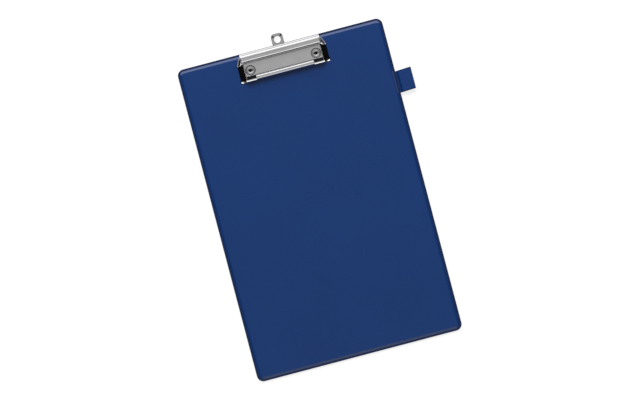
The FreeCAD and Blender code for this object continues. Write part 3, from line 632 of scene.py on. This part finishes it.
# The chrome's painted shade, for the rivets' bores and the jaw's inner faces.
CHROME_PAINTED_SHADE = (0.05, 0.05, 0.05)
RIVET_BORE = 1.5 * MM
chrome = plated_finish("bright_chrome", dark=(0.76, 0.76, 0.77), light=(0.83, 0.83, 0.84),
                       least=0.05, haze=0.06, rub_scale=1800.0, rub_depth=0.15, painted_shade_colour=CHROME_PAINTED_SHADE)
build = bmesh.new()
chain = []
for radius, height in RIVET_HEAD + RIVET_ROLL + RIVET_INSIDE:
    chain.append(build.verts.new((radius * MM - SWEEP_RADIUS, -height * MM, 0.0)))
for first, second in zip(chain, chain[1:]):
    build.edges.new((first, second))
rivets = piece_from(build, "rivets")
tree = rivet_tree(chrome)
setter = rivets.modifiers.new("rolled_rivets", "NODES")
setter.node_group = tree
inputs = {item.name: item.identifier for item in tree.interface.items_tree if item.in_out == "INPUT"}
setter[inputs["Segments"]] = ROUND_STEPS
setter[inputs["Sweep Radius"]] = SWEEP_RADIUS
setter[inputs["First Place"]] = (rivet_places[0].x, rivet_places[0].y, 0.0)
setter[inputs["Spacing"]] = (rivet_places[1].x - rivet_places[0].x, 0.0, 0.0)
true_shading(bake(rivets))
# The rivets' bores are darkened with a painted shade.
mark_painted_shade(rivets, lambda face: from_rivet(face) < RIVET_BORE)
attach(rivets, "board")
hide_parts("left_rivet", "right_rivet")


# Jaw: the paper clip itself, one frame pressed from steel strip and chromed.
# It has a round hump over the pin, webbed shoulders, sloping arms, a turned-in front foot and small toes.
# Its rolled lip is lifted with a fingertip, and the jaw turns on the pin.
# Sections as (distance from the board's top edge, height), and places along X, in millimetres.
NOTCH_SIDE, NOTCH_END = 42.6, 60.0
NOTCH_SECTION = [(29.2, 0.0), (40.0, 0.0), (40.0, 20.0), (29.2, 20.0)]
TOE_SECTION = [(28.6, 3.15), (29.4, 3.15), (31.15, 3.85), (31.0, 4.45), (29.4, 3.75), (28.6, 3.7)]
EDGE_SECTION = [(29.4, 8.4), (31.0, 8.0), (31.0, 9.15)]
# The turned-in foot is a sheet set into the notches that carries the painted shade.
FOOT_SECTION = [(26.3, 3.2), (30.7, 3.2), (30.7, 3.8), (26.3, 3.8)]
CORNER_BARS = ((TOE_SECTION, 42.2, 48.4), (EDGE_SECTION, 31.7, 42.8), (FOOT_SECTION, 30.7, 42.4))
# The web's outline as (x, height), at three distances from the top edge.
WEB_SECTIONS = {
    4.4: [(43.85, 6.05), (43.05, 6.05), (43.05, 6.4), (44.1, 6.3),
          (44.3, 4.25), (45.4, 4.25), (45.4, 3.7), (43.85, 3.7)],
    11.8: [(43.85, 5.55), (43.05, 5.55), (43.05, 6.35), (44.2, 6.2),
           (47.3, 4.96), (48.5, 4.96), (48.5, 3.4), (43.85, 3.4)],
    12.9: [(43.85, 5.55), (43.05, 5.55), (43.05, 6.35), (44.2, 6.2),
           (47.3, 4.3), (48.5, 3.6), (48.5, 3.4), (43.85, 3.4)],
}


def loft(rings, side):
    """A solid through rings of (x, distance from the top edge, z) points. Side is 1 or -1."""
    solid = bmesh.new()
    rows = []
    for ring in rings:
        places = [(side * x * MM, HALF_LENGTH - back * MM, z * MM) for x, back, z in ring]
        rows.append([solid.verts.new(place) for place in places])
    for row, following in zip(rows, rows[1:]):
        for first in range(len(row)):
            second = (first + 1) % len(row)
            solid.faces.new((row[first], row[second], following[second], following[first]))
    for end in (rows[0], rows[-1]):
        solid.faces.new(end)
    bmesh.ops.recalc_face_normals(solid, faces=solid.faces)
    return solid


def bar(section, start, end, side):
    """A straight bar along X with this (distance from the top edge, z) section."""
    return loft([[(x, back, z) for back, z in section] for x in (start, end)], side)


jaw = pressed_copy("jaw", "chrome_jaw", chrome)
web = [[(x, back, z) for x, z in section] for back, section in WEB_SECTIONS.items()]
for side in (1, -1):
    work_with(jaw, "DIFFERENCE", bar(NOTCH_SECTION, NOTCH_SIDE, NOTCH_END, side))
    for section, start, end in CORNER_BARS:
        work_with(jaw, "UNION", bar(section, start, end, side))
    work_with(jaw, "UNION", loft(web, side))
true_shading(jaw, PRESSED_ANGLE)
FRAME_TOP = 8.4 * MM
FOOT_TOP = 4.0 * MM
UNDERSIDE, STEEP = -0.2, 0.5
window_middle = (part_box("clip_base")[0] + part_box("clip_base")[1]) / 2


def inside_jaw(face):
    """Faces under the sheet, low ones that look in to the window, and the turned-in foot, all given the
    painted shade.
    """
    if face.center.z < FOOT_TOP and abs(face.center.x) < NOTCH_SIDE * MM:
        return True
    inward = (window_middle - face.center).xy.dot(face.normal.xy) > 0
    walled = inward and face.normal.z < STEEP and face.center.z < FRAME_TOP
    return walled or face.normal.z < UNDERSIDE


# The jaw's undersides, inner walls and turned-in foot are darkened with a painted shade, so the notches read
# dark.
mark_painted_shade(jaw, inside_jaw)
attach(jaw, "clip_jaw")
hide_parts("jaw")


# Hanging eye: a small stamped plate with a round hole and two punch marks, plated as the base is.
# It slides out from under the hump to hang the board on a hook, and back in out of the way.
# Its edges are tumbled like the base's.
EYE_PAINTED_SHADE = (0.12, 0.12, 0.12)
EYE_EDGE = 0.4 * MM
LEVEL_FACE = 0.9995
# The punch marks as (x, y) places, and the ball that makes them, in millimetres.
MARK_PLACES = ((4.3, 180.2), (-4.3, 180.2))
MARK_BALL, MARK_DEPTH = 1.57, 0.45
eye_plate = plated_finish("hanger_nickel_plate", dark=(0.78, 0.78, 0.79), light=(0.87, 0.87, 0.88),
                          least=0.22, haze=0.12, rub_scale=2500.0, rub_depth=0.3, painted_shade_colour=EYE_PAINTED_SHADE)
hanging_eye = tumble(pressed_copy("hanging_eye", "hanger_plate", eye_plate), EYE_EDGE)
eye_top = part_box("hanging_eye")[1].z
for x, y in MARK_PLACES:
    ball = bmesh.new()
    bmesh.ops.create_uvsphere(ball, u_segments=32, v_segments=16, radius=MARK_BALL * MM)
    centre = (x * MM, y * MM, eye_top + (MARK_BALL - MARK_DEPTH) * MM)
    bmesh.ops.translate(ball, verts=ball.verts, vec=centre)
    work_with(hanging_eye, "DIFFERENCE", ball)
true_shading(hanging_eye, PRESSED_ANGLE)
# Every face that is not level, so its edges, the hole's wall and the punch marks, is darkened with a painted
# shade.
mark_painted_shade(hanging_eye, lambda face: abs(face.normal.z) < LEVEL_FACE)
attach(hanging_eye, "hanger")
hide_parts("hanging_eye")


# Studio: a plain white floor, one wide soft lamp beyond the clip end and a plain sky of light.
# The sky is bright along the board and dark to both sides, which is what the chrome shows.
# The camera looks straight down, turned as the photograph was.
FLOOR_HALF = 20.0
FLOOR_DROP = 0.3 * MM
FLOOR_SHADE = (0.30, 0.30, 0.30, 1.0)
FLOOR_GLOW = 0.79
WHITE = (1.0, 1.0, 1.0, 1.0)
bpy.ops.mesh.primitive_plane_add(size=2 * FLOOR_HALF, location=(0, 0, -FLOOR_DROP))
floor = bpy.context.object
floor.name = "floor"
white = bpy.data.materials.new("white_floor")
white.use_nodes = True
tree = white.node_tree
tree.nodes.clear()
ray = add_node(tree, "ShaderNodeLightPath")
seen = calc(tree, "MAXIMUM", ray.outputs["Is Camera Ray"], ray.outputs["Is Glossy Ray"])
seen = calc(tree, "MAXIMUM", seen, ray.outputs["Is Transmission Ray"])
paper = add_node(tree, "ShaderNodeBsdfDiffuse", Color=FLOOR_SHADE)
glow = add_node(tree, "ShaderNodeEmission", Color=WHITE, Strength=calc(tree, "MULTIPLY", seen, FLOOR_GLOW))
both = add_node(tree, "ShaderNodeAddShader", i0=paper.outputs[0], i1=glow.outputs[0])
add_node(tree, "ShaderNodeOutputMaterial", Surface=both.outputs[0])
floor.data.materials.append(white)

# The sky's strength from the foot end (0) to the clip end (1), and from the middle (0) out to each side (1).
SKY_LENGTHWISE = [(0.0, 0.4), (0.015, 1.1), (0.045, 1.1), (0.07, 0.34), (0.22, 0.48), (0.36, 0.46)]
SKY_LENGTHWISE += [(0.41, 0.52), (0.45, 0.30), (0.55, 0.30), (0.59, 0.52), (0.78, 0.7), (0.83, 1.5)]
SKY_LENGTHWISE += [(0.94, 1.5), (0.975, 0.7), (1.0, 0.4)]
SKY_SIDEWAYS = [(0.0, 1.0), (0.18, 1.0), (0.48, 0.34), (0.80, 0.20), (0.91, 0.015)]
SKY_CLIP_END = [(0.66, 0.0), (0.76, 1.0)]
sky = bpy.data.worlds.new("studio_sky")
bpy.context.scene.world = sky
sky.use_nodes = True
tree = sky.node_tree
tree.nodes.clear()
towards = add_node(tree, "ShaderNodeTexCoord").outputs["Generated"]
parts = add_node(tree, "ShaderNodeSeparateXYZ", Vector=towards)
along = add_node(tree, "ShaderNodeMapRange", Value=parts.outputs["Y"], From_Min=-1.0, From_Max=1.0)
lengthwise = ramp(tree, along.outputs[0], *SKY_LENGTHWISE)
sideways = ramp(tree, calc(tree, "ABSOLUTE", parts.outputs["X"]), *SKY_SIDEWAYS)
clip_end = ramp(tree, along.outputs[0], *SKY_CLIP_END)
level = calc(tree, "MULTIPLY", lengthwise, calc(tree, "MAXIMUM", sideways, clip_end))
light = add_node(tree, "ShaderNodeBackground", Color=WHITE, Strength=level)
add_node(tree, "ShaderNodeOutputWorld", Surface=light.outputs[0])

LAMP_WIDTH, LAMP_DEPTH = 3.2, 1.1
LAMP_POWER = 42.0
LAMP_PLACE = (0.0, 1.54, 1.84)
LAMP_TILT = math.radians(-40)
lamp = bpy.data.lights.new("clip_end_lamp", "AREA")
lamp.shape = "RECTANGLE"
lamp.size = LAMP_WIDTH
lamp.size_y = LAMP_DEPTH
lamp.energy = LAMP_POWER
lamp_stand = bpy.data.objects.new("clip_end_lamp", lamp)
bpy.context.scene.collection.objects.link(lamp_stand)
lamp_stand.visible_glossy = False
lamp_stand.location = LAMP_PLACE
lamp_stand.rotation_euler = (LAMP_TILT, 0.0, 0.0)

BOARD_ROLL = math.radians(14.78)
PIXELS_PER_METRE = 940.2
LENS = 100.0
SENSOR = 36.0
VIEW_RANGE = 100.0
IMAGE_WIDTH = 640
OFF_CENTRE = (0.26, 0.0)
camera = bpy.data.cameras.new("camera")
camera.lens = LENS
camera.sensor_width = SENSOR
camera.clip_end = VIEW_RANGE
viewer = bpy.data.objects.new("camera", camera)
bpy.context.scene.collection.objects.link(viewer)
right = Vector((math.cos(BOARD_ROLL), -math.sin(BOARD_ROLL), 0.0))
up = Vector((math.sin(BOARD_ROLL), math.cos(BOARD_ROLL), 0.0))
height = IMAGE_WIDTH * LENS / SENSOR / PIXELS_PER_METRE + board_high.z
aside = (right * OFF_CENTRE[0] + up * OFF_CENTRE[1]) / PIXELS_PER_METRE
viewer.location = aside + Vector((0.0, 0.0, height))
viewer.rotation_euler = (0.0, 0.0, -BOARD_ROLL)
bpy.context.scene.camera = viewer
bpy.context.scene.view_settings.view_transform = "Standard"
